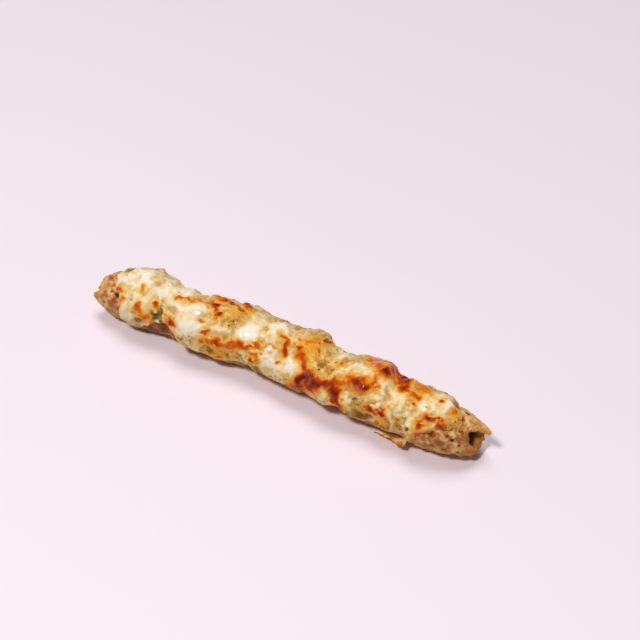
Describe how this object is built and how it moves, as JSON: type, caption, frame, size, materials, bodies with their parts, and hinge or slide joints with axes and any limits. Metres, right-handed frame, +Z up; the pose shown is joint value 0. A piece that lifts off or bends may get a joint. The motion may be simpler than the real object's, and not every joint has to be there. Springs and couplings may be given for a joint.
{
  "type": "kofta kebab",
  "caption": "Finger-shaped roll of baked minced meat with melted browned cheese over its top and an open skewer hole along its middle.",
  "frame": {"origin": "on the flat underside, below the line of the skewer hole and halfway along the roll", "axes": "+X along the roll towards the open torn mouth of the skewer hole, +Z up, -Y the side that faces the viewer"},
  "size_m": [0.2064, 0.0348, 0.0282],
  "materials": {
    "kofta_meat": "moist baked minced meat, uneven",
    "melted_cheese": "melted cheese with oily gloss and browned blisters"
  },
  "bodies": {
    "root": {"kofta_meat": "kofta_meat", "melted_cheese": "melted_cheese"}
  },
  "joints": []
}
